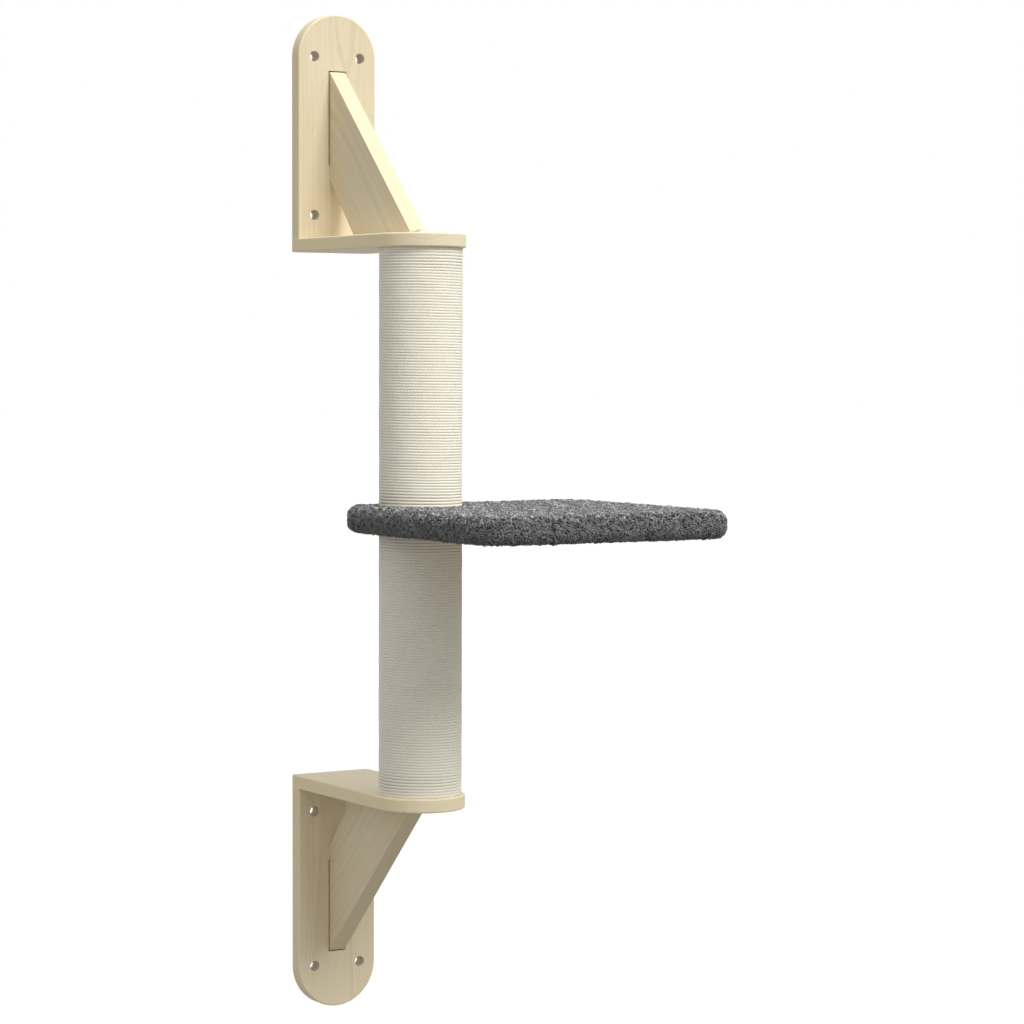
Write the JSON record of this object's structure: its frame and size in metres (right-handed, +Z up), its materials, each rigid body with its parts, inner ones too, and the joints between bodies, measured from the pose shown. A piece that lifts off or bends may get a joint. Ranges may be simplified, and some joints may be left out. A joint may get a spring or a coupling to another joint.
{
  "type": "wall mounted cat tree",
  "caption": "Upright rope-wound scratching post held off the wall by two braced wooden brackets, with a plush-covered platform clamped between its halves.",
  "frame": {"origin": "middle of the lower wall plate's four screw holes, on the wall plane", "axes": "+Z up along the post, -Y out from the wall into the room, +X to the right seen from the room"},
  "size_m": [0.303, 0.457, 1.0949],
  "materials": {
    "plate_pine": "unfinished sanded pine",
    "arm_pine": "unfinished sanded pine",
    "brace_pine": "unfinished sanded pine",
    "beech": "bare turned wood",
    "plug_wood": "bare wood",
    "board_wood": "raw particle board",
    "kraft_tube": "wound paper tube",
    "zinc_steel": "zinc plated",
    "sisal": "natural sisal rope",
    "grey_plush": "short curled plush"
  },
  "bodies": {
    "root": {"upper_wall_plate": "plate_pine", "upper_arm": "arm_pine", "upper_brace": "brace_pine", "upper_plate_dowels": "beech", "upper_brace_dowels": "beech", "upper_brace_screws": "zinc_steel", "lower_wall_plate": "plate_pine", "lower_arm": "arm_pine", "lower_brace": "brace_pine", "lower_plate_dowels": "beech", "lower_brace_dowels": "beech", "lower_brace_screws": "zinc_steel", "upper_post_bolt": "zinc_steel", "lower_post_bolt": "zinc_steel", "upper_post_tube": "kraft_tube", "upper_post_rope": "sisal", "upper_post_top_plug": "plug_wood", "upper_post_bottom_plug": "plug_wood", "lower_post_tube": "kraft_tube", "lower_post_rope": "sisal", "lower_post_top_plug": "plug_wood", "lower_post_bottom_plug": "plug_wood", "post_threaded_inserts": "zinc_steel", "post_joining_stud": "zinc_steel", "platform_board": "board_wood", "platform_cover": "grey_plush"}
  },
  "joints": []
}
